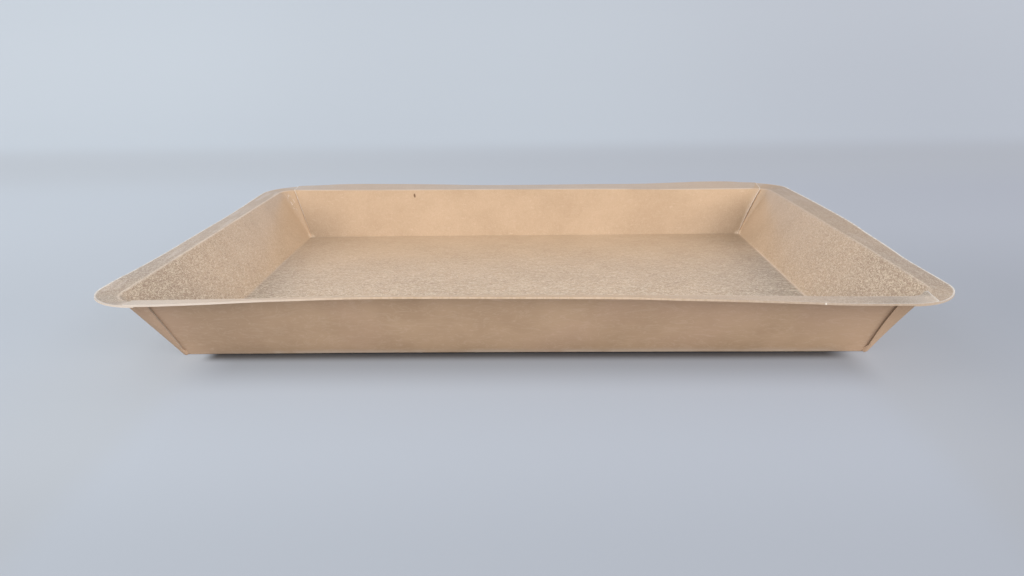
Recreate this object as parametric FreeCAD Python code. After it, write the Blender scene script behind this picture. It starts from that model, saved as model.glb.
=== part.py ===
import FreeCAD, Part
import math
import os
from FreeCAD import Vector

# Shallow sealing tray, erected from one flat blank of kraft board.
# The long walls and their flanges are the inner ply.  The end walls are the
# outer ply: their ears wrap round the corners and are sealed to the outside
# of the long walls, so each corner is a cone with a narrow lap of two plies.
# X runs along the length, Z is up, the table is at Z = 0 and the origin is
# under the middle of the floor.

# Board
BOARD = 0.5                  # thickness of the kraft board
PLY_STEP = 0.3               # how far the ears stand proud of the long walls

# Floor and walls
BASE_LENGTH = 188.0          # floor panel, fold to fold, along X
BASE_WIDTH = 141.0           # floor panel, fold to fold, along Y
DEPTH = 19.3                 # table to the top of the long flanges
END_LEAN = 13.0              # how far each end wall leans out over its height
LONG_LEAN = 12.0             # how far each long wall leans out over its height
FLOOR_CORNER_RADIUS = 0.3    # inside corner at the floor, almost sharp
RIM_CORNER_RADIUS = 6.2      # inside corner at the rim fold

# Sealing flange
FLANGE_WIDTH = 6.5           # rim fold to the cut edge
FLANGE_CORNER_RADIUS = 15.5  # rounded outer corners
FLAT_BY_FOLD = 1.2           # flange left flat beside the rim fold
FLAT_BY_CORNER = 3.0         # flange left flat beside each rounded corner
FRONT_LIFT = 2.3             # spring of each cut edge above flat, where it peaks
FRONT_PEAK = -0.3            # share of half the span, left of the middle
BACK_LIFT = 0.4
RIGHT_LIFT = 1.4
LEFT_LIFT = -0.4             # this one sags

# Folds, measured on the outside of the bend
FLOOR_FOLD_RADIUS = 0.6
RIM_FOLD_RADIUS = 0.8

# Cut edges at each corner
EAR_TOE_INSET = 1.2          # ear toe, inboard of the floor corner along X
EAR_TOE_HEIGHT = 2.0         # the toe stands square on the table up to here
EAR_EDGE_RUN = 3.8           # ear edge at the rim, outboard of the floor corner
LONG_EDGE_TURN = 55.0        # degrees that the long panels wrap round the rim corner

# Worked out from the sizes above
LAP = BOARD + PLY_STEP
HALF_BASE_X = BASE_LENGTH / 2
HALF_BASE_Y = BASE_WIDTH / 2
HALF_RIM_X = HALF_BASE_X + END_LEAN + FLANGE_WIDTH
HALF_RIM_Y = HALF_BASE_Y + LONG_LEAN + FLANGE_WIDTH
END_SECANT = math.hypot(1.0, END_LEAN / DEPTH)
LONG_SECANT = math.hypot(1.0, LONG_LEAN / DEPTH)
BEYOND = DEPTH               # how far a cutting tool reaches past the part
RIGHT = Vector(1, 0, 0)
BACK = Vector(0, 1, 0)
UP = Vector(0, 0, 1)
TOUCH = 1e-3                 # points closer than this lie on the same line


def rounded_rectangle(half_x, half_y, radius, z):
    """Closed wire at height z: four sides joined by four corner arcs."""
    flat_x = half_x - radius
    flat_y = half_y - radius
    diagonal = radius * math.sqrt(0.5)
    edges = []
    for sx, sy in ((1, 1), (-1, 1), (-1, -1), (1, -1)):
        on_end = Vector(sx * half_x, sy * flat_y, z)
        middle = Vector(sx * (flat_x + diagonal), sy * (flat_y + diagonal), z)
        on_side = Vector(sx * flat_x, sy * half_y, z)
        start, stop = (on_end, on_side) if sx == sy else (on_side, on_end)
        if edges:
            edges.append(Part.makeLine(edges[-1].lastVertex().Point, start))
        edges.append(Part.Arc(start, middle, stop).toShape())
    edges.append(Part.makeLine(edges[-1].lastVertex().Point, edges[0].firstVertex().Point))
    return Part.Wire(edges)


def wall_outline(inset, z):
    """Half length, half width and corner radius of the walls at height z.

    The inset is measured square to the wall, from the outside of the ears."""
    rise = z / DEPTH
    half_x = HALF_BASE_X + END_LEAN * rise - inset * END_SECANT
    half_y = HALF_BASE_Y + LONG_LEAN * rise - (inset - PLY_STEP) * LONG_SECANT
    inside = FLOOR_CORNER_RADIUS + (RIM_CORNER_RADIUS - FLOOR_CORNER_RADIUS) * rise
    return half_x, half_y, inside + LAP - inset


def wall_ring(inset, z):
    """The same outline as a closed wire."""
    return rounded_rectangle(*wall_outline(inset, z), z)


def wall_block(inset, bottom, top):
    """Solid between two outlines: four flat sides and four cones."""
    low, high = wall_ring(inset, bottom), wall_ring(inset, top)
    faces = [Part.Face(low), Part.Face(high)]
    for lower, upper in zip(low.OrderedEdges, high.OrderedEdges):
        if isinstance(lower.Curve, Part.Circle):
            faces.append(Part.makeRuledSurface(lower, upper))
        else:
            corners = [edge.valueAt(end) for edge in (lower, upper)
                       for end in (edge.FirstParameter, edge.LastParameter)]
            faces.append(Part.Face(Part.makePolygon([corners[i] for i in (0, 1, 3, 2, 0)])))
    shell = Part.Shell(faces)
    shell.sewShape()
    if shell.Volume < 0:     # its faces looked inwards
        shell.reverse()
    return Part.Solid(shell)


def box_between(one, other):
    """Upright box with two opposite corners at the given points."""
    low = Vector(min(one.x, other.x), min(one.y, other.y), min(one.z, other.z))
    size = Vector(abs(one.x - other.x), abs(one.y - other.y), abs(one.z - other.z))
    return Part.makeBox(size.x, size.y, size.z, low)


def prism(points, sweep):
    """Solid swept from a flat polygon."""
    return Part.Face(Part.makePolygon(points + points[:1])).extrude(sweep)


def edges_along(shape, wire):
    """The edges of a shape that lie on a given wire."""
    found = []
    for edge in shape.Edges:
        first = edge.FirstParameter
        reach = edge.LastParameter - first
        probes = [Part.Vertex(edge.valueAt(first + reach * share)) for share in (0.1, 0.5, 0.9)]
        if all(wire.distToShape(probe)[0] < TOUCH for probe in probes):
            found.append(edge)
    return found


def sprung_strip(along, out, start, cut_edge, half_span, underside, lift, peak):
    """Stretch of flange whose cut edge bows between two flat ends."""
    def place(share, distance, height):
        return along * (share * half_span) + out * distance + UP * (underside + height)
    rest_line = Part.makeLine(place(-1, start, 0), place(1, start, 0))
    bow = Part.BSplineCurve()
    bow.interpolate([place(share, cut_edge, lift * height)
                     for share, height in ((-1, 0), ((peak - 1) / 2, 0.8), (peak, 1),
                                           ((peak + 1) / 2, 0.8), (1, 0))],
                    InitialTangent=along, FinalTangent=along)
    return Part.makeRuledSurface(rest_line, bow.toShape()).extrude(UP * BOARD)


def flange_sheet(inset, top, springs):
    """Sheet with the flange's outline, and the given sides of it sprung upwards."""
    underside = top - BOARD
    outline = rounded_rectangle(HALF_RIM_X, HALF_RIM_Y, FLANGE_CORNER_RADIUS, underside)
    sheet = Part.Face(outline).extrude(UP * BOARD)
    fold_x, fold_y, _ = wall_outline(inset + BOARD, top)
    for out, lift, peak in springs:
        if out.x:
            along, fold, cut_edge, length = BACK, fold_x, HALF_RIM_X, HALF_RIM_Y
        else:
            along, fold, cut_edge, length = RIGHT, fold_y, HALF_RIM_Y, HALF_RIM_X
        start = fold + FLAT_BY_FOLD
        half_span = length - FLANGE_CORNER_RADIUS - FLAT_BY_CORNER
        flat_part = box_between(along * -half_span + out * start + UP * (underside - BEYOND),
                                along * half_span + out * (cut_edge + BEYOND) + UP * (top + BEYOND))
        strip = sprung_strip(along, out, start, cut_edge, half_span, underside, lift, peak)
        sheet = sheet.cut(flat_part).fuse(strip)
    return sheet


def ply(inset, top, springs):
    """A whole tray of one ply: floor, leaning walls and flange, with rounded folds."""
    block = wall_block(inset, 0, top - BOARD / 2)
    block = block.makeFillet(FLOOR_FOLD_RADIUS, edges_along(block, wall_ring(inset, 0)))
    hollow = wall_block(inset + BOARD, BOARD, DEPTH + BEYOND)
    shell = block.fuse(flange_sheet(inset, top, springs)).cut(hollow).removeSplitter()
    rim_fold = edges_along(shell, wall_ring(inset + BOARD, top))
    return shell.makeFillet(RIM_FOLD_RADIUS, rim_fold)


def past_long_panel():
    """The space past the long panels' cut edges, at the right-hand end.

    Seen from above, each edge climbs the corner cone from the floor corner
    to the rim fold, and then crosses the flange square to its cut edge."""
    fold_x, fold_y, radius = wall_outline(LAP, DEPTH)
    turn = math.radians(LONG_EDGE_TURN)
    rim = Vector(fold_x - radius + radius * math.sin(turn),
                 fold_y - radius + radius * math.cos(turn), BOARD)
    foot = Vector(HALF_BASE_X, HALF_BASE_Y, BOARD)
    inboard = foot - (rim - foot)
    beyond_x = HALF_RIM_X + BEYOND
    beyond_y = HALF_RIM_Y + BEYOND
    half = [inboard, rim, Vector(rim.x, beyond_y, BOARD), Vector(beyond_x, beyond_y, BOARD)]
    other_half = [Vector(point.x, -point.y, point.z) for point in reversed(half)]
    return prism(half + other_half, UP * (DEPTH + BEYOND))


def between_ears():
    """The space between the ears' cut edges, along the back long wall."""
    toe = HALF_BASE_X - EAR_TOE_INSET
    rim = HALF_BASE_X + EAR_EDGE_RUN
    half = [(toe, -BEYOND), (toe, EAR_TOE_HEIGHT), (rim, DEPTH), (rim, DEPTH + BEYOND)]
    start = HALF_BASE_Y - LAP * LONG_SECANT
    outline = [Vector(x, start, z) for x, z in half]
    outline += [Vector(-x, start, z) for x, z in reversed(half)]
    return prism(outline, BACK * (HALF_RIM_Y + BEYOND - start))


def both_sides(shape, normal):
    """A shape and its mirror image."""
    return [shape, shape.mirror(Vector(0, 0, 0), normal)]


def tray():
    long_ply = ply(PLY_STEP, DEPTH, ((-BACK, FRONT_LIFT, FRONT_PEAK), (BACK, BACK_LIFT, 0)))
    end_ply = ply(0, DEPTH - PLY_STEP, ((RIGHT, RIGHT_LIFT, 0), (-RIGHT, LEFT_LIFT, 0)))
    long_ply = long_ply.cut(both_sides(past_long_panel(), RIGHT))
    end_ply = end_ply.cut(both_sides(between_ears(), BACK))
    return long_ply.fuse(end_ply).removeSplitter()


os.makedirs("parts", exist_ok=True)
shape = tray()
print("tray", shape.ShapeType, "solids", len(shape.Solids), "valid", shape.isValid(),
      "volume", round(shape.Volume, 1), "faces", len(shape.Faces))
shape.Solids[0].exportStep("parts/tray.step")
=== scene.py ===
import math

import bpy
from mathutils import Matrix, Vector


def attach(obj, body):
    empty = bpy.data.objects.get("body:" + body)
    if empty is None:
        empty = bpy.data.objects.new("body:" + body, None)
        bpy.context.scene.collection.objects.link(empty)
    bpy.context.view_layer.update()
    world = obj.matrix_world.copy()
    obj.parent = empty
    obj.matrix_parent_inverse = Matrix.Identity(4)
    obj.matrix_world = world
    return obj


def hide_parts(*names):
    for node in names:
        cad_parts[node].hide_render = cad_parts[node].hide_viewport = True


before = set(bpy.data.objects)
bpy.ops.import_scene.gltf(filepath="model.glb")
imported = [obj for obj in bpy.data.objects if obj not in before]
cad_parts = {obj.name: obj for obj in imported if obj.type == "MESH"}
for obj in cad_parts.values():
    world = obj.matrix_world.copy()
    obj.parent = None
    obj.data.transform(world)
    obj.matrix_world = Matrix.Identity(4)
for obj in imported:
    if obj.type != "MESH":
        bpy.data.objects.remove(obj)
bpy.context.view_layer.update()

MM = 0.001


# ---- The blank --------------------------------------------------------------
# One sheet of half-millimetre kraft board, laminated with clear film on the
# face that becomes the inside, then die-cut and creased.  It is drawn here as
# points that know their panel, and the fold-up further down gives them a place.
# The long panels wrap each corner by their own few degrees before they end.

BOARD = 0.5 * MM             # thickness of the board
FLOOR_HALF = (93.2, 70.3)    # inside of the floor fold from the middle, in mm
WALL_SLOPE = 22.4            # crease to crease over a wall, in mm
FLANGE = 6.5                 # rim crease to the cut edge, in mm
FLOOR_CORNER = 0.3           # corner radii on the inside, in mm
RIM_CORNER = 6.2
EDGE_CORNER = 15.5
RIM_FLAT = (99.7, 75.7)      # middles of the rim's corner arcs, in mm
EDGE_FLAT = (98.0, 73.5)     # middles of the arcs of the flange's cut edge, in mm
LAP_TURNS = {(-1, -1): 10.0, (1, -1): 56.0,   # degrees of each rim corner that
             (-1, 1): 18.0, (1, 1): 42.0}     # the long panel wraps before its cut edge
FLOOR_BEND = 0.2             # tangent length of the floor crease, in mm
RIM_BEND = 0.5               # tangent length of the rim crease, in mm


def bend(steps):
    """Two weights for each point of a rounded crease, before it and past it."""
    return [((1 - i / steps) ** 2, (i / steps) ** 2) for i in range(steps + 1)]


def panel_rows():
    """(climb up the wall, millimetres past the crease, reach over the flange)."""
    rows = [(past * FLOOR_BEND / WALL_SLOPE, -before * FLOOR_BEND, 0) for before, past in bend(4)]
    rows += [(climb, 0, 0) for climb in (0.02, 0.05, 0.09, 0.135, 0.19, 0.26, 0.34, 0.42, 0.5,
                                         0.58, 0.66, 0.74, 0.81, 0.87, 0.92, 0.955)]
    rows += [(1 - before * RIM_BEND / WALL_SLOPE, past * RIM_BEND, 0) for before, past in bend(5)]
    rows += [(1, RIM_BEND, reach) for reach in (0.03, 0.08, 0.2, 0.35, 0.5, 0.65, 0.8, 0.9, 0.96, 1)]
    return rows


def spread(count):
    """Shares from -1 to 1, closer together towards both ends."""
    shares = [-1 + 2 * i / count for i in range(count + 1)]
    return [1.12 * s - 0.12 * s ** 3 for s in shares]


LONG_SHARES = spread(96)
END_SHARES = spread(74)


def turned(sx, sy, degrees):
    """Outward direction in plan, turned from the Y axis towards the X axis."""
    turn = math.radians(degrees)
    return sx * math.sin(turn), sy * math.cos(turn)


def long_columns(sy):
    """Columns of a long panel: cut edge, wrap, straight wall, wrap, cut edge."""
    steps = 10
    wraps = {}
    for sx in (-1, 1):
        turn = LAP_TURNS[sx, sy]
        cut_x = RIM_FLAT[0] + RIM_CORNER * math.sin(math.radians(turn))
        edge_turn = math.degrees(math.asin((cut_x - EDGE_FLAT[0]) / EDGE_CORNER))
        wraps[sx] = [((sx, sy), turned(sx, sy, turn * i / steps),
                      turned(sx, sy, edge_turn * i / steps), -1 if i == steps else 0)
                     for i in range(1, steps + 1)]
    straight = [((share, sy), (0, sy), (0, sy), 0) for share in LONG_SHARES]
    return wraps[-1][::-1] + straight + wraps[1]


def end_columns(sx):
    """Columns of an end panel: ear, corner, straight wall, corner, ear."""
    steps = 18
    corners = {}
    for sy in (-1, 1):
        arc = [((sx, sy), turned(sx, sy, 90 - 90 * i / steps),
                turned(sx, sy, 90 - 90 * i / steps), 0) for i in range(1, steps + 1)]
        ear = [((sx, sy), (0, sy), (0, sy), over) for over in (0.5, 1)]
        corners[sy] = arc + ear
    straight = [((sx, share), (sx, 0), (sx, 0), 0) for share in END_SHARES]
    return corners[-1][::-1] + straight + corners[1]


class Blank:
    """The points and faces of the flat sheet, each point drawn only once."""

    def __init__(self):
        self.index = {}
        self.faces = []

    def point(self, share, facing, edge_facing, ear, row, outer):
        climb, past, reach = row
        key = (*share, *facing, *edge_facing, ear, climb, past, reach, outer)
        return self.index.setdefault(tuple(round(v, 6) for v in key), len(self.index))

    def panel(self, columns, outer, right_way):
        rows = panel_rows()
        grid = [[self.point(*column, row, outer) for column in columns] for row in rows]
        self.weave(grid, right_way)
        return grid[0]

    def weave(self, grid, right_way):
        for low, high in zip(grid, grid[1:]):
            for i in range(len(low) - 1):
                face = (low[i], low[i + 1], high[i + 1], high[i])
                self.faces.append(face if right_way else face[::-1])


blank = Blank()
for side in (-1, 1):
    blank.panel(long_columns(side), 0, side > 0)
    blank.panel(end_columns(side), 1, side < 0)

flat_row = (0, -FLOOR_BEND, 0)
floor_grid = []
for share_y in (None, *END_SHARES, None):
    line = []
    edge_y = 1 if floor_grid else -1
    for share_x in (None, *LONG_SHARES, None):
        edge_x = 1 if line else -1
        if share_x is None and share_y is None:
            direction = turned(edge_x, edge_y, 45)
            spot = ((edge_x, edge_y), direction, direction, 0, flat_row, 1)
        elif share_y is None:
            spot = ((share_x, edge_y), (0, edge_y), (0, edge_y), 0, flat_row, 0)
        elif share_x is None:
            spot = ((edge_x, share_y), (edge_x, 0), (edge_x, 0), 0, flat_row, 1)
        else:
            spot = ((share_x, share_y), (0, 0), (0, 0), 0, (0, 0, 0), 0)
        line.append(blank.point(*spot))
    floor_grid.append(line)
blank.weave(floor_grid, True)

sheet = bpy.data.meshes.new("tray_blank")
points = list(blank.index)
flat_places = []
for sx, sy, fx, fy, ex, ey, ear, climb, past, reach, outer in points:
    out = FLOOR_CORNER + past + climb * WALL_SLOPE + reach * FLANGE
    flat_places.append((MM * (sx * (FLOOR_HALF[0] - FLOOR_CORNER) + fx * out - max(ear, 0) * sx * 2),
                        MM * (sy * (FLOOR_HALF[1] - FLOOR_CORNER) + fy * out), 0))
sheet.from_pydata(flat_places, [], blank.faces)
LAYOUT = {"share": (0, 1), "facing": (2, 3), "edge_facing": (4, 5)}
for name, columns in LAYOUT.items():
    layer = sheet.attributes.new(name, "FLOAT_VECTOR", "POINT")
    for i, point in enumerate(points):
        layer.data[i].vector = (point[columns[0]], point[columns[1]], 0)
for name, column in {"ear": 6, "climb": 7, "past": 8, "reach": 9, "outer": 10}.items():
    layer = sheet.attributes.new(name, "FLOAT", "POINT")
    for i, point in enumerate(points):
        layer.data[i].value = point[column]
grain = sheet.uv_layers.new(name="blank")
for loop in sheet.loops:
    x, y, _ = flat_places[loop.vertex_index]
    grain.data[loop.index].uv = (x, y)


# ---- Board finishes ---------------------------------------------------------
# Brown unbleached kraft, its fibres along the tray.  The inside carries a thin
# clear film that takes up the fibres' pebbling and shines softly, the outside
# is bare and matt, and the cut edges show pale, slightly furry board.

class Wiring:
    """Adds nodes to one tree and joins them up."""

    def __init__(self, tree):
        self.tree = tree

    def add(self, kind, *values, **settings):
        made = self.tree.nodes.new(kind)
        for setting, value in settings.items():
            setattr(made, setting, value)
        for socket, value in zip([s for s in made.inputs if s.enabled], values):
            self.feed(socket, value)
        return made

    def feed(self, socket, value):
        if isinstance(value, bpy.types.Node):
            value = next(s for s in value.outputs if s.enabled)
        if isinstance(value, bpy.types.NodeSocket):
            self.tree.links.new(value, socket)
        elif value is not None:
            socket.default_value = value

    def number(self, operation, *values):
        return self.add("ShaderNodeMath", *values, operation=operation).outputs[0]

    def times(self, product, *others):
        """The product of any count of numbers."""
        for other in others:
            product = self.number("MULTIPLY", product, other)
        return product

    def size(self, value):
        """A value without its sign."""
        return self.number("ABSOLUTE", value)

    def off(self, value, middle):
        """How far a value lies from a middle one."""
        return self.size(self.number("SUBTRACT", value, middle))

    def rest(self, share):
        """What a share leaves of the whole."""
        return self.number("SUBTRACT", 1.0, share)

    def vector(self, operation, *values):
        made = self.add("ShaderNodeVectorMath", *values, operation=operation)
        return next(s for s in made.outputs if s.enabled)

    def ramp(self, value, start, stop, low=0.0, high=1.0):
        return self.add("ShaderNodeMapRange", value, start, stop, low, high,
                        interpolation_type="SMOOTHSTEP").outputs[0]


class Finish(Wiring):
    """A material, with the places and patterns that all the finishes share."""

    def __init__(self, name):
        self.material = bpy.data.materials.new(name)
        self.material.use_nodes = True
        super().__init__(self.material.node_tree)
        self.shader = self.tree.nodes["Principled BSDF"]
        self.on_blank = self.add("ShaderNodeUVMap", uv_map="blank").outputs[0]
        self.blank_x, self.blank_y, _ = self.add("ShaderNodeSeparateXYZ", self.on_blank).outputs
        in_place = self.add("ShaderNodeTexCoord").outputs["Object"]
        self.x, self.y, self.z = self.add("ShaderNodeSeparateXYZ", in_place).outputs

    def noise(self, scale, detail=2.0, roughness=0.5, distortion=0.0, stretch=(1, 1, 1)):
        """Noise in features per metre of board, stretched along the fibres."""
        place = self.vector("MULTIPLY", self.on_blank, stretch)
        made = self.add("ShaderNodeTexNoise")
        for name, value in (("Vector", place), ("Scale", scale), ("Detail", detail),
                            ("Roughness", roughness), ("Distortion", distortion)):
            self.feed(made.inputs[name], value)
        return made.outputs[0]

    def blend(self, factor, one, other, kind="MIX"):
        made = self.add("ShaderNodeMix", data_type="RGBA", blend_type=kind)
        for index, value in ((0, factor), (6, one), (7, other)):
            self.feed(made.inputs[index], value)
        return made.outputs[2]

    def tinted(self, colour, tint, *shares):
        """The colour with a tint over it, as strong as the product of the shares."""
        return self.blend(self.times(*shares), colour, (*tint, 1))

    def stored_value(self, name):
        """A number that the fold-up has kept at this spot under a given name."""
        made = self.add("ShaderNodeAttribute", attribute_name=name, attribute_type="GEOMETRY")
        return made.outputs[2]

    def bump(self, height, strength, distance):
        made = self.add("ShaderNodeBump")
        for name, value in (("Height", height), ("Strength", strength), ("Distance", distance)):
            self.feed(made.inputs[name], value)
        for socket in ("Normal", "Coat Normal"):
            self.feed(self.shader.inputs[socket], made.outputs[0])

    def set(self, **values):
        for name, value in values.items():
            self.feed(self.shader.inputs[name.replace("_", " ")], value)


def kraft_colours(finish, dark, plain, light):
    """Cloudy brown with short fibres, a few pale and a few dark."""
    dark, plain, light = ((*tone, 1) for tone in (dark, plain, light))
    clouds = finish.noise(45, 3, 0.6)
    fibres = finish.noise(1100, 2, 0.6, 0.6, (0.4, 1, 1))
    strands = finish.noise(420, 3, 0.7, 1.6, (0.6, 1, 1))
    colour = finish.blend(finish.ramp(clouds, 0.3, 0.7), dark, plain)
    colour = finish.blend(finish.ramp(fibres, 0.55, 0.8, 0, 0.4), colour, light)
    return finish.blend(finish.ramp(strands, 0.28, 0.42, 0.3, 0), colour, dark), fibres


FLOOR_X, FLOOR_Y = (half * MM for half in FLOOR_HALF)

film = Finish("kraft_film_laminated")
colour, fibres = kraft_colours(film, (0.515, 0.345, 0.213), (0.58, 0.395, 0.25), (0.685, 0.505, 0.35))
aside = film.size(film.blank_x)
inner_ply = film.rest(film.stored_value("outer"))
on_floor = film.times(film.number("LESS_THAN", aside, FLOOR_X),
                      film.number("LESS_THAN", film.size(film.blank_y), FLOOR_Y))


def left_to_right(left, right):
    """One number over the left of the tray, passing into another over the right."""
    return film.ramp(film.blank_x, -0.05, 0.05, left, right)


def floor_to_back_wall(floor, wall):
    """One number over the floor, passing into another at the foot of the back wall."""
    return film.ramp(film.blank_y, 0.069, 0.071, floor, wall)


# Painted shade: darker down in the back corners and against the end folds, where
# little light comes
from_corner = film.add("ShaderNodeCombineXYZ", film.number("SUBTRACT", aside, FLOOR_X),
                       film.number("SUBTRACT", film.blank_y, FLOOR_Y))
from_corner = film.vector("LENGTH", from_corner)
deepest_painted_shade = left_to_right(0.24, floor_to_back_wall(0.32, 0.25))
in_corner = film.ramp(from_corner, floor_to_back_wall(0.045, 0.025), 0.003, 0, deepest_painted_shade)
by_fold = film.times(film.ramp(aside, 0.076, 0.0925, 0, 0.14), film.ramp(film.blank_y, 0.072, 0.068))
corner_and_fold_painted_shade = film.number("MAXIMUM", in_corner, by_fold)
colour = film.tinted(colour, (0.05, 0.03, 0.01), corner_and_fold_painted_shade, inner_ply)

# Painted shade: greyer at the front of the end walls and along the floor beside
# them.  A painted highlight at the floor's own back corners
near_end = film.number("MAXIMUM", film.ramp(film.blank_x, 0.085, 0.1, 0, 0.17),
                       film.ramp(film.blank_x, -0.085, -0.1, 0, 0.22))
colour = film.tinted(colour, (0.0, 0.04, 0.08), near_end, film.ramp(film.blank_y, -0.01, -0.06))
beside = film.ramp(aside, left_to_right(0.068, 0.05), 0.0925, 0, left_to_right(0.17, 0.22))
forwards = film.ramp(film.blank_y, left_to_right(0.04, 0.08), -0.03)
colour = film.tinted(colour, (0.0, 0.08, 0.12), beside, forwards, inner_ply)
# Painted highlight at the floor's own back corners
colour = film.tinted(colour, (0.85, 0.68, 0.50), film.ramp(from_corner, 0.002, 0.0008, 0, 0.45))

# Darker at the left front tip, warmer in the front of the floor
colour = film.tinted(colour, (0.0, 0.02, 0.03), film.ramp(film.blank_x, -0.110, -0.114),
                     film.ramp(film.blank_y, -0.068, -0.09, 0, 0.2))
colour = film.tinted(colour, (0.95, 0.64, 0.36), film.ramp(aside, 0.085, 0.05),
                     film.ramp(film.blank_y, 0.0, -0.06, 0, 0.12))

# Pebbled by the press: worm-like ridges, drawn out along the floor and fainter
# towards the back and on the rim, each with a painted highlight on one side and
# painted shade on the other
drawn_out = film.add("ShaderNodeCombineXYZ", film.number("MULTIPLY_ADD", on_floor, -0.7, 1.0),
                     film.number("MULTIPLY_ADD", on_floor, 0.4, 0.5), 1.0)
worms = film.noise(1500, 1, 0.5, 1.2, drawn_out)
deep = film.times(film.ramp(film.blank_y, 0.085, -0.08, 0.13, 1.0),
                  film.number("MULTIPLY_ADD", on_floor, 0.26, 0.64),
                  film.ramp(film.blank_y, -0.0915, -0.0935, 1.0, 0.35))
painted_ridge_highlight = film.ramp(film.off(worms, 0.5), 0.07, 0.02)
painted_ridge_shade = film.ramp(film.off(worms, 0.62), 0.06, 0.02, 0, 0.8)
colour = film.tinted(colour, (0.89, 0.75, 0.55), painted_ridge_highlight, deep)
colour = film.tinted(colour, (0.32, 0.20, 0.125), painted_ridge_shade, deep)

# The flange has a painted highlight towards both ends of the front and painted
# shade along the back and both ends, most at the right.  It is streaked at the ends,
# and a painted reflection greys it at the back
# Painted highlight on the front flange, towards its left end and at its right end
colour = film.tinted(colour, (0.98, 0.78, 0.60), film.ramp(film.blank_y, -0.0925, -0.0933),
                     film.ramp(film.blank_x, 0.0, -0.07, 0, 0.45), film.ramp(film.blank_x, -0.104, -0.098))
colour = film.tinted(colour, (1.0, 0.80, 0.62), film.ramp(film.x, 0.094, 0.104),
                     film.ramp(film.y, -0.0815, -0.0835, 0, 0.35), inner_ply)
# Painted shade along the flanges of the back and both ends, most at the right
colour = film.tinted(colour, (0.25, 0.16, 0.09), film.stored_value("flange_painted_shade"))
streaks = film.ramp(film.noise(420, 2, 0.6, 0.3, (1, 0.12, 1)), 0.5, 0.66, 0,
                    film.ramp(film.blank_x, -0.1, 0.1, 0.28, 0.13))
colour = film.tinted(colour, (0.74, 0.60, 0.50), streaks, film.ramp(aside, 0.1155, 0.1165))
on_back_flange = film.ramp(film.blank_y, 0.0925, 0.0933)
# Painted reflection of the blue-grey backdrop on the back flange
colour = film.tinted(colour, (0.52, 0.56, 0.61), on_back_flange, 0.13)

# Pale flecks rubbed at the back left corner, and one dark speck in the back wall
SCUFF = (-0.1065, 0.0810, 0)
SPECK = (-0.04525, 0.0898, 0)
SPECKS_PER_METRE = (2200, 860, 0)   # the speck is narrow and taller than wide
from_scuff = film.vector("LENGTH", film.vector("SUBTRACT", film.on_blank, SCUFF))
colour = film.tinted(colour, (0.90, 0.80, 0.70), film.ramp(film.noise(650, 1), 0.56, 0.62),
                     film.ramp(from_scuff, 0.0055, 0.002, 0, 0.6))
from_speck = film.vector("MULTIPLY", film.vector("SUBTRACT", film.on_blank, SPECK), SPECKS_PER_METRE)
in_speck = film.ramp(film.vector("LENGTH", from_speck), 1.2, 0.5, 0, 0.95)
colour = film.tinted(colour, (0.13, 0.055, 0.015), in_speck)

# Creases crack it pale here and there, partly painted highlight along the folds,
# and the die nibbles it pale along the edges, with a painted highlight there too
colour = film.tinted(colour, (0.82, 0.64, 0.48), film.stored_value("crease"),
                     film.ramp(film.noise(60, 2), 0.35, 0.6, 0.1, 0.5))
colour = film.tinted(colour, (0.92, 0.88, 0.82), film.stored_value("arris"),
                     film.ramp(film.noise(700, 2), 0.3, 0.6, 0.4, 0.8))
gloss = film.number("MULTIPLY_ADD", on_back_flange, 0.4, film.ramp(film.blank_x, 0.115, 0.117, 0.62, 0.47))
film.set(Base_Color=colour, Roughness=0.5, Coat_Weight=gloss, Coat_Roughness=0.22)
relief = film.times(worms, deep, 0.9)
film.bump(film.number("MULTIPLY_ADD", fibres, 0.15, relief), 1.0, 0.15 * MM)

# The bare outside: rosier in patches, lined with fine scuffs, greyer at the left,
# paler along the creases, and with a painted highlight along the foot's fold
bare = Finish("kraft_bare")
colour, fibres = kraft_colours(bare, (0.495, 0.325, 0.20), (0.58, 0.388, 0.244), (0.67, 0.475, 0.33))
blush = bare.ramp(bare.noise(28, 2, 0.5), 0.45, 0.65, 0, 0.35)
colour = bare.tinted(colour, (0.60, 0.39, 0.27), blush)
scuffs = bare.noise(260, 3, 0.6, 2.0, (0.35, 1, 1))
scuff_lines = bare.ramp(bare.off(scuffs, 0.5), 0.03, 0.0, 0, 0.18)
colour = bare.tinted(colour, (0.76, 0.58, 0.43), scuff_lines)
colour = bare.tinted(colour, (0.08, 0.09, 0.12), bare.ramp(bare.blank_x, -0.03, -0.095, 0, 0.1))
colour = bare.tinted(colour, (0.66, 0.49, 0.35), bare.ramp(bare.stored_value("crease"), 0, 1, 0, 0.3))
# Painted highlight along the foot's fold
colour = bare.tinted(colour, (0.76, 0.62, 0.50), bare.stored_value("base_fold"),
                     bare.ramp(bare.noise(120, 2), 0.35, 0.6, 0.2, 0.6))
bare.set(Base_Color=colour, Roughness=0.88)
bare.bump(bare.number("MULTIPLY_ADD", scuffs, 1.5, fibres), 0.4, 0.1 * MM)

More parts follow.
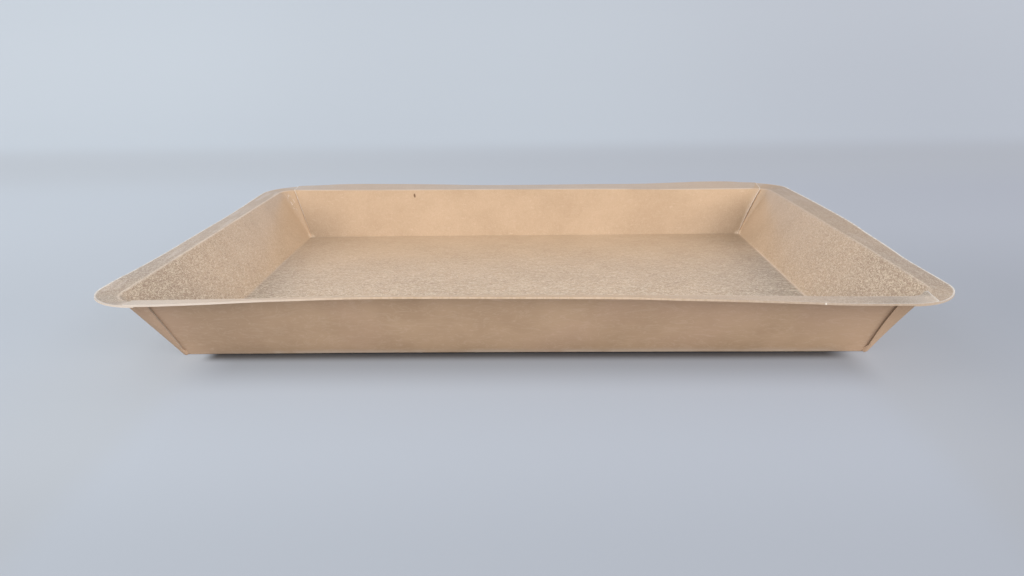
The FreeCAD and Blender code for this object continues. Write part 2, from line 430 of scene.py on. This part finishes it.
# The cut edges: paler towards the left and at the far right, with one bright nick
# in front, darkened at the ears by painted shade of the gap beneath them, and with
# a painted highlight at the foot of the back laps
cut = Finish("kraft_cut_edge")
furry = cut.noise(900, 3, 0.7, 0.5)
colour = cut.blend(cut.ramp(furry, 0.35, 0.62), (0.52, 0.375, 0.25, 1), (0.60, 0.45, 0.32, 1))
paler = cut.number("MAXIMUM", cut.ramp(cut.x, -0.03, -0.085), cut.ramp(cut.x, 0.101, 0.108, 0, 0.4))
colour = cut.tinted(colour, (0.66, 0.56, 0.47), paler)
colour = cut.tinted(colour, (0.38, 0.31, 0.26), cut.ramp(cut.x, 0.02, 0.08, 0, 0.4))
NICK = 0.076                 # its place along the front
colour = cut.tinted(colour, (0.80, 0.72, 0.62), cut.ramp(cut.off(cut.x, NICK), 0.0003, 0.0001),
                    cut.ramp(cut.y, -0.08, -0.085))
# Painted shade of the gap beneath the ears' cut edges
colour = cut.tinted(colour, (0.25, 0.165, 0.10), cut.stored_value("ear_gap_painted_shade"))
# Painted highlight at the foot of the back laps
colour = cut.tinted(colour, (0.95, 0.83, 0.70), cut.ramp(cut.z, 0.008, 0.004, 0, 0.8),
                    cut.ramp(cut.y, 0.05, 0.06))
cut.set(Base_Color=colour, Roughness=0.9)
cut.bump(furry, 0.4, 0.08 * MM)


# ---- The folded tray --------------------------------------------------------
# The blank folds up in one go: walls lean out, the rim folds over flat, and at
# each corner the end wall's ear slips round the outside of the long wall, where a
# heat seal holds it.  The released rim springs up a little along its edges.

erect = bpy.data.node_groups.new("fold_up_tray", "GeometryNodeTree")
fold = Wiring(erect)
NUMBERS = {"Floor corner": FLOOR_CORNER * MM, "Rim corner": RIM_CORNER * MM,
           "Edge corner": EDGE_CORNER * MM, "Depth": 19.3 * MM, "Board": BOARD,
           "Ply step": 0.62 * MM, "Flange step": 0.2 * MM, "Toe": 93.1 * MM, "Ear slant": 0.288,
           "Crease spring": 1.0, "Edge spring": 1.0, "Front pull": 0.4, "Waviness": 0.22 * MM,
           "Edge clearance": 0.12 * MM, "Front foot": 0.6 * MM, "Left foot": 0.5 * MM,
           "Right foot": 1.2 * MM}
PLANS = {"Floor half": (FLOOR_HALF[0] * MM, FLOOR_HALF[1] * MM, 0),
         "Rim half": (106.4 * MM, 81.91 * MM, 0), "Edge half": (113.36 * MM, 88.82 * MM, 0)}
erect.interface.new_socket("Geometry", in_out="INPUT", socket_type="NodeSocketGeometry")
for name in NUMBERS:
    erect.interface.new_socket(name, in_out="INPUT", socket_type="NodeSocketFloat")
for name in PLANS:
    erect.interface.new_socket(name, in_out="INPUT", socket_type="NodeSocketVector")
erect.interface.new_socket("Geometry", in_out="OUTPUT", socket_type="NodeSocketGeometry")
given = erect.nodes.new("NodeGroupInput").outputs


def known(name, kind="FLOAT"):
    """What the blank knows about each of its points."""
    return fold.add("GeometryNodeInputNamedAttribute", name, data_type=kind)


def between(one, other, share):
    """A number part of the way from one to another."""
    return fold.number("MULTIPLY_ADD", fold.number("SUBTRACT", other, one), share, one)


def midway(one, other, share):
    """A place part of the way from one to another."""
    step = fold.vector("SCALE", fold.vector("SUBTRACT", other, one), share)
    return fold.vector("ADD", one, step)


def plan_vector(x, y, z=0.0):
    return fold.add("ShaderNodeCombineXYZ", x, y, z).outputs[0]


def split(place):
    return fold.add("ShaderNodeSeparateXYZ", place).outputs


def heights(place, points):
    """A smooth line along one side, through points (place, height) given in mm."""
    low, high = (pick(height for _, height in points) for pick in (min, max))
    along = fold.ramp(place, points[0][0] * MM, points[-1][0] * MM)
    along.node.interpolation_type = "LINEAR"
    curve = fold.add("ShaderNodeFloatCurve", 1.0, along)
    line = curve.mapping.curves[0]
    shares = [((p - points[0][0]) / (points[-1][0] - points[0][0]), (h - low) / (high - low))
              for p, h in points]
    line.points[0].location, line.points[1].location = shares[0], shares[-1]
    for spot in shares[1:-1]:
        line.points.new(*spot)
    curve.mapping.update()
    return fold.number("MULTIPLY_ADD", curve.outputs[0], (high - low) * MM, low * MM)


share, facing = known("share", "FLOAT_VECTOR"), known("facing", "FLOAT_VECTOR")
edge_facing = known("edge_facing", "FLOAT_VECTOR")
climb, reach, outer, ear = known("climb"), known("reach"), known("outer"), known("ear")
past = fold.times(known("past"), MM)

# Where the wall stands: a rounded rectangle that grows with height
step_out = fold.times(outer, given["Ply step"])
step_in = fold.number("SUBTRACT", step_out, given["Ply step"])
half = fold.vector("ADD", midway(given["Floor half"], given["Rim half"], climb),
                   plan_vector(step_in, step_out))
corner = fold.number("ADD", between(given["Floor corner"], given["Rim corner"], climb), step_out)
flat_half = fold.vector("SUBTRACT", half, plan_vector(corner, corner))
on_wall = fold.vector("ADD", fold.vector("MULTIPLY", share, flat_half),
                      fold.vector("SCALE", facing, fold.number("ADD", corner, past)))

# Where the flange's cut edge lies, and the way across to it
edge_corner = given["Edge corner"]
edge_flat = fold.vector("SUBTRACT", given["Edge half"], plan_vector(edge_corner, edge_corner))
on_edge = fold.vector("ADD", fold.vector("MULTIPLY", share, edge_flat),
                      fold.vector("SCALE", edge_facing, edge_corner))
plan = split(midway(on_wall, on_edge, reach))

# The ear runs on past the corner, as far as its cut edge, which slants above the toe
TOE_HEIGHT = 3 * MM
flange_top = fold.number("SUBTRACT", given["Depth"], fold.times(outer, given["Flange step"]))
height = between(given["Board"], flange_top, climb)
across = fold.size(plan[0])
above_toe = fold.number("SUBTRACT", height, TOE_HEIGHT)
slant = fold.number("MULTIPLY_ADD", above_toe, given["Ear slant"], given["Toe"])
ear_edge = fold.number("MINIMUM", across, fold.number("MAXIMUM", given["Toe"], slant))
on_ear = fold.number("MAXIMUM", ear, 0.0)
lapped = fold.times(fold.number("SIGN", plan[0]), between(across, ear_edge, on_ear))

# The released rim springs: how far its crease and its cut edge rise along each side
FRONT_CREASE = [(-106, 0.0), (-80, 0.12), (-56, 0.42), (-40, 0.6), (0, 0.58), (40, 0.38), (72, 0.0),
                (90, -0.15), (106, -0.1)]
FRONT_EDGE = [(-113, 0.75), (-96, 0.79), (-88, 0.955), (-80, 1.19), (-72, 1.5), (-64, 1.78),
              (-56, 1.95), (-48, 2.15), (-38, 2.26), (0, 2.08), (24, 1.86), (40, 1.43),
              (56, 0.98), (72, 0.42), (88, -0.05), (113, -0.1)]
BACK_CREASE = [(-106, 0.0), (-90, -0.25), (-60, -0.5), (0, -0.72), (40, -1.0), (64, -1.35),
               (90, -1.4), (106, -1.0)]
BACK_EDGE = [(-113, 0.3), (-96, 0.68), (-88, 0.9), (-76, 1.2), (-64, 1.1), (-48, 0.88), (-32, 0.52),
             (-16, 0.18), (0, 0.11), (32, 0.16), (48, 0.1), (60, 0.3), (72, 0.62), (86, 0.86),
             (97, 0.4), (113, 0.2)]
RIGHT_CREASE = [(-82, 0.4), (-70, 0.65), (-40, 0.7), (-10, 0.35), (20, 0.05), (50, -0.25),
                (70, -0.6), (82, -1.0)]
RIGHT_EDGE = [(-89, 0.15), (-72, 0.55), (-56, 0.45), (-48, 0.44), (-40, 0.7), (-32, 1.0), (-16, 1.35),
              (4, 1.85), (24, 1.68), (40, 1.45), (56, 1.08), (72, 0.72), (89, 0.4)]
LEFT_CREASE = [(-82, 0.2), (-60, 0.3), (0, 0.2), (60, 0.12), (82, 0.0)]
LEFT_EDGE = [(-89, 0.85), (-72, 0.97), (-56, 0.55), (-40, 0.2), (-24, -0.02), (0, -0.06), (28, -0.24),
             (44, -0.14), (60, 0.15), (76, 0.28), (89, 0.3)]
looking = midway(facing, edge_facing, reach)
look_x, look_y, _ = split(looking)
for_ends = fold.times(look_x, look_x)
for_longs = fold.times(look_y, look_y)
at_right = fold.number("GREATER_THAN", lapped, 0.0)
at_back = fold.number("GREATER_THAN", plan[1], 0.0)


def all_round(front, back, right, left):
    """One line right round the rim: each side's own, blended over the corners."""
    longs = between(heights(lapped, front), heights(lapped, back), at_back)
    ends = between(heights(plan[1], left), heights(plan[1], right), at_right)
    both = fold.number("MULTIPLY_ADD", longs, for_longs, fold.times(ends, for_ends))
    return fold.number("DIVIDE", both, fold.number("ADD", for_longs, for_ends))


crease_rise = all_round(FRONT_CREASE, BACK_CREASE, RIGHT_CREASE, LEFT_CREASE)
crease_rise = fold.times(crease_rise, given["Crease spring"])
edge_rise = all_round(FRONT_EDGE, BACK_EDGE, RIGHT_EDGE, LEFT_EDGE)
edge_rise = fold.times(edge_rise, given["Edge spring"])
late = fold.number("POWER", climb, 3.0)
lift = fold.times(between(crease_rise, edge_rise, reach), late)

# Where the front edge springs highest it also draws inwards
at_front = fold.times(fold.rest(at_back), for_longs)
drawn = fold.times(heights(lapped, FRONT_EDGE), at_front, late)
x = lapped
y = fold.number("MULTIPLY_ADD", drawn, given["Front pull"], plan[1])

# Slow waves in the panels, from the crease lines' pull
waves = fold.add("ShaderNodeTexNoise")
for name, value in (("Vector", fold.add("GeometryNodeInputPosition")), ("Scale", 26.0),
                    ("Detail", 1.0), ("Roughness", 0.4)):
    fold.feed(waves.inputs[name], value)
wave = fold.times(waves.outputs[0], given["Waviness"])
loose = fold.times(climb, fold.rest(climb), 4.0)
swell = fold.times(fold.number("SUBTRACT", wave, fold.times(given["Waviness"], 0.5)), loose)
on_floor = fold.number("LESS_THAN", climb, 1e-6)
share_x, share_y, _ = (fold.size(axis) for axis in split(share))
inner_floor = fold.times(on_floor, fold.ramp(fold.number("MAXIMUM", share_x, share_y), 1.0, 0.8))
z = fold.number("ADD", fold.number("ADD", height, lift), fold.times(wave, inner_floor))

# The floor rests towards its back and middle.  Its folded edges stand just off the
# table, most of all in front, where the foot and its two corners also spread a little
rim_of_floor = fold.ramp(fold.number("MAXIMUM", share_x, share_y), 0.7, 1.0)
foot = fold.times(fold.rest(climb), fold.rest(climb), between(1.0, rim_of_floor, on_floor))
forwards = fold.times(fold.ramp(plan[1], 0.07, -0.07), fold.ramp(fold.size(plan[0]), 0.04, 0.08, 1.0, 0.0))
clearance = fold.times(given["Edge clearance"], between(0.2, 1.0, forwards))
z = fold.number("MULTIPLY_ADD", foot, clearance, z)
in_front = fold.times(foot, fold.ramp(plan[1], -0.06, -0.07))
footing = fold.times(given["Front foot"], fold.ramp(plan[0], -0.03, 0.07, 1.0, 1.8))
y = fold.number("SUBTRACT", y, fold.times(in_front, footing))
at_corner = fold.times(in_front, fold.ramp(fold.size(plan[0]), 0.082, 0.093))
spread_out = fold.number("SUBTRACT", fold.times(at_right, given["Right foot"]),
                         fold.times(fold.rest(at_right), given["Left foot"]))
x = fold.number("MULTIPLY_ADD", at_corner, spread_out, x)
place = fold.vector("ADD", plan_vector(x, y, z), fold.vector("SCALE", facing, swell))

folded = fold.add("GeometryNodeSetPosition", given["Geometry"], None, place)


def kept(shape, name, value):
    """The shape, with a number kept under a name at each of its points."""
    return fold.add("GeometryNodeStoreNamedAttribute", shape, None, name, value, data_type="FLOAT")


# How near each point is to a crease, for the creases' paleness and painted
# highlight: the rim's all round, the floor's at the right
at_right_end = fold.times(for_ends, at_right)
low_crease = fold.times(fold.ramp(climb, 0.03, 0.0), fold.rest(on_floor), at_right_end)
whole = fold.rest(fold.times(at_right_end, fold.ramp(plan[1], -0.08, -0.01, 0.45, 0.9)))
crease = fold.number("MAXIMUM", fold.times(fold.ramp(climb, 0.985, 1.0), whole), low_crease)
crease = fold.times(crease, fold.ramp(reach, 0.06, 0.0))
creased = kept(folded, "crease", crease)

# The die leaves a pale arris along the flange's edge and the long panels' ends,
# with a painted highlight on it.  Painted shade darkens the rim's flanges, and
# painted shade of the gap beneath the ears darkens their cut edges, most at the
# right, where one has lifted
arris = fold.times(fold.ramp(reach, 0.92, 0.96), fold.ramp(fold.size(x), 0.05, 0.1),
                   fold.rest(fold.times(for_longs, at_back)), between(0.45, 1.0, for_ends))
on_laps = between(-0.9, between(-1.5, -0.75, at_right), at_back)
arris = fold.number("MAXIMUM", arris, fold.times(ear, on_laps))
creased = kept(creased, "arris", arris)
# Painted highlight along the foot's fold
base_fold = fold.times(fold.ramp(climb, 0.07, 0.02), fold.rest(on_floor),
                       fold.ramp(fold.size(x), 0.09, 0.08))
creased = kept(creased, "base_fold", base_fold)
# Painted shade along the flanges, most at the right end and at the back
at_ends = fold.times(for_ends, between(0.3, 0.42, at_right))
at_back_edge = between(0.0, fold.ramp(x, 0.04, 0.09, 0.26, 0.38), at_back)
flange_painted_shade = fold.number("MULTIPLY_ADD", for_longs, at_back_edge, at_ends)
flange_painted_shade = fold.times(flange_painted_shade, fold.ramp(reach, 0.0, 0.08))
creased = kept(creased, "flange_painted_shade", flange_painted_shade)
# Painted shade of the gap beneath the ears' cut edges, deepest at the right
ear_gap_painted_shade = fold.times(fold.number("GREATER_THAN", ear, 0.9), fold.ramp(reach, 0.1, 0.0),
                    between(0.5, 0.85, at_right), between(1.0, fold.ramp(climb, 0.25, 0.5), at_back))
creased = kept(creased, "ear_gap_painted_shade", ear_gap_painted_shade)

# The board's thickness grows outwards from the film side
turned_over = fold.add("GeometryNodeFlipFaces", creased)
outwards = fold.add("GeometryNodeInputNormal")
thick = fold.add("GeometryNodeExtrudeMesh", turned_over, None, outwards, None, False)
fold.feed(thick.inputs["Offset Scale"], given["Board"])
both = fold.add("GeometryNodeJoinGeometry")
erect.links.new(thick.outputs["Mesh"], both.inputs[0])
erect.links.new(creased.outputs[0], both.inputs[0])
welded = fold.add("GeometryNodeMergeByDistance", both)
welded.inputs["Distance"].default_value = 1e-6
angles = fold.add("GeometryNodeInputMeshEdgeAngle")
sharp = fold.number("GREATER_THAN", angles.outputs[0], math.radians(40))
shaded = fold.add("GeometryNodeSetShadeSmooth", welded, None, True, domain="FACE")
shaded = fold.add("GeometryNodeSetShadeSmooth", shaded, sharp, False, domain="EDGE")
real = fold.add("GeometryNodeRealizeInstances", shaded)
finished = fold.add("GeometryNodeSetMaterial", real, None, film.material)
finished = fold.add("GeometryNodeSetMaterial", finished, thick.outputs["Top"], bare.material)
finished = fold.add("GeometryNodeSetMaterial", finished, thick.outputs["Side"], cut.material)
erect.links.new(finished.outputs[0], erect.nodes.new("NodeGroupOutput").inputs[0])

flat_sheet = bpy.data.objects.new("tray_blank", sheet)
bpy.context.scene.collection.objects.link(flat_sheet)
folding = flat_sheet.modifiers.new("fold up", "NODES")
folding.node_group = erect
sockets = {item.name: item.identifier for item in erect.interface.items_tree if item.in_out == "INPUT"}
for name, value in {**NUMBERS, **PLANS}.items():
    folding[sockets[name]] = value
bpy.context.view_layer.update()
evaluated = flat_sheet.evaluated_get(bpy.context.evaluated_depsgraph_get())
board_mesh = bpy.data.meshes.new_from_object(evaluated)
board_mesh.name = "tray_board"
bpy.data.objects.remove(flat_sheet)

tray_board = bpy.data.objects.new("tray_board", board_mesh)
bpy.context.scene.collection.objects.link(tray_board)
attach(tray_board, "root")
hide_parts("tray")


# ---- Studio -----------------------------------------------------------------
# A pale blue-grey sheet that sweeps up behind the tray and glows by itself, most
# to the left, three broad soft lamps, and a camera standing a little above the rim.

SWEEP = [(-1.2, 0), (0.0, 0), (0.20, 0), (0.26, 0.001), (0.30, 0.006), (0.34, 0.02),
         (0.38, 0.05), (0.41, 0.10), (0.43, 0.2), (0.44, 0.6), (0.44, 1.4)]
sweep_mesh = bpy.data.meshes.new("sweep")
sweep_mesh.from_pydata([(sx * 1.6, y, z) for y, z in SWEEP for sx in (-1, 1)], [],
                       [(2 * i, 2 * i + 1, 2 * i + 3, 2 * i + 2) for i in range(len(SWEEP) - 1)])
sweep_mesh.shade_smooth()
sweep = bpy.data.objects.new("sweep", sweep_mesh)
bpy.context.scene.collection.objects.link(sweep)
card = Finish("pale_card")
tint = card.blend(card.ramp(card.x, -0.30, 0.32), (0.48, 0.525, 0.585, 1), (0.377, 0.395, 0.453, 1))
tint = card.tinted(tint, (0.50, 0.545, 0.605), card.ramp(card.z, 0.05, 0.45, 0, 0.8))

# Greyer at the back of its flat part, brighter where it stands up behind the tray
tint = card.tinted(tint, (0.42, 0.44, 0.47), card.ramp(card.y, 0.16, 0.27),
                   card.ramp(card.z, 0.013, 0.003), 0.4)
upright = card.times(card.ramp(card.z, 0.003, 0.014), card.ramp(card.z, 0.06, 0.2, 1.0, 0.5),
                     card.ramp(card.x, -0.18, 0.12, 0.04, 0.16))
tint = card.blend(upright, tint, (1.98, 2.12, 1.98, 1), "MULTIPLY")

# Its flat part falls off in tone to both sides and towards the front, and takes a
# little painted warmth beside the tray, standing for light bounced off the board
sides = card.number("ADD", card.ramp(card.x, -0.09, -0.18, 0, 0.09), card.ramp(card.x, 0.07, 0.17, 0, 0.21))
tone = card.times(card.ramp(card.y, 0.10, -0.05), card.number("SUBTRACT", 0.05, sides))
tone = card.number("SUBTRACT", tone, card.ramp(card.y, -0.125, -0.172, 0, 0.09))
tone = card.number("ADD", tone, 1.0)
tint = card.blend(1.0, tint, card.add("ShaderNodeCombineXYZ", tone, tone, tone), "MULTIPLY")
near_x = card.size(card.x)
# Painted bounce light: a little warmth next to the tray's ends
beside = card.times(card.ramp(near_x, 0.16, 0.10), card.ramp(near_x, 0.08, 0.094),
                    card.ramp(card.y, 0.12, 0.04))
tint = card.blend(beside, tint, (0.985, 0.97, 0.945, 1), "MULTIPLY")

# A sheet that glows takes little shade.  So its glow dies away around the tray as
# painted shade, and it is painted darker along the foot: the shade there is part
# cast by the lamps and part painted
near_y = card.number("SUBTRACT", card.size(card.y), card.ramp(card.x, -0.03, 0.07, 0, 0.0006))
under_x = card.times(card.ramp(card.x, -0.0885, -0.0837), card.ramp(card.x, 0.0905, 0.0820))
close = card.times(card.ramp(near_y, 0.078, 0.0725), under_x)
broad = card.times(card.ramp(near_y, 0.100, 0.073, 0, 0.5), card.ramp(card.x, -0.093, -0.076),
                   card.ramp(card.x, 0.094, 0.085))
glow = card.times(card.rest(broad), card.rest(close), 0.7)
shaded = card.blend(1.0, tint, (0.35, 0.35, 0.35, 1), "MULTIPLY")
shaded = card.tinted(shaded, (0.0, 0.0, 0.0), card.ramp(near_y, 0.0765, 0.0712, 0, 0.55), under_x)
card.set(Base_Color=shaded, Roughness=0.6, Emission_Color=tint, Emission_Strength=glow)
sweep_mesh.materials.append(card.material)


def soft_lamp(name, place, watts):
    """A broad square lamp that looks at the tray."""
    lamp = bpy.data.lights.new(name, "AREA")
    lamp.shape, lamp.size, lamp.energy, lamp.color = "SQUARE", 0.9, watts, (1.0, 0.998, 0.995)
    holder = bpy.data.objects.new(name, lamp)
    holder.location = place
    holder.rotation_euler = (-Vector(place)).to_track_quat("-Z", "Y").to_euler()
    bpy.context.scene.collection.objects.link(holder)


soft_lamp("front_left", (-0.95, -0.95, 0.6), 9.0)
soft_lamp("front_right", (0.95, -0.95, 0.6), 15.2)
soft_lamp("high_left", (-0.8, -0.1, 1.1), 5.0)

world = bpy.data.worlds.new("studio")
world.use_nodes = True
bpy.context.scene.world = world
background = world.node_tree.nodes["Background"]
background.inputs["Color"].default_value = (1.0, 1.0, 1.0, 1)
background.inputs["Strength"].default_value = 0.35

lens = bpy.data.cameras.new("camera")
lens.lens, lens.sensor_width = 29.99, 36
camera = bpy.data.objects.new("camera", lens)
pitch, yaw, roll = math.radians(16.59), math.radians(-1.20), math.radians(-0.74)
ahead = Vector((math.sin(yaw) * math.cos(pitch), math.cos(yaw) * math.cos(pitch), -math.sin(pitch)))
right = Vector((math.cos(yaw), -math.sin(yaw), 0))
up = right.cross(ahead)
level_right = right * math.cos(roll) + up * math.sin(roll)
level_up = up * math.cos(roll) - right * math.sin(roll)
facing_tray = Matrix((level_right, level_up, -ahead)).transposed().to_4x4()
camera.matrix_world = Matrix.Translation((0.0023, -0.2919, 0.0845)) @ facing_tray
bpy.context.scene.collection.objects.link(camera)
bpy.context.scene.camera = camera
bpy.context.scene.view_settings.view_transform = "Standard"
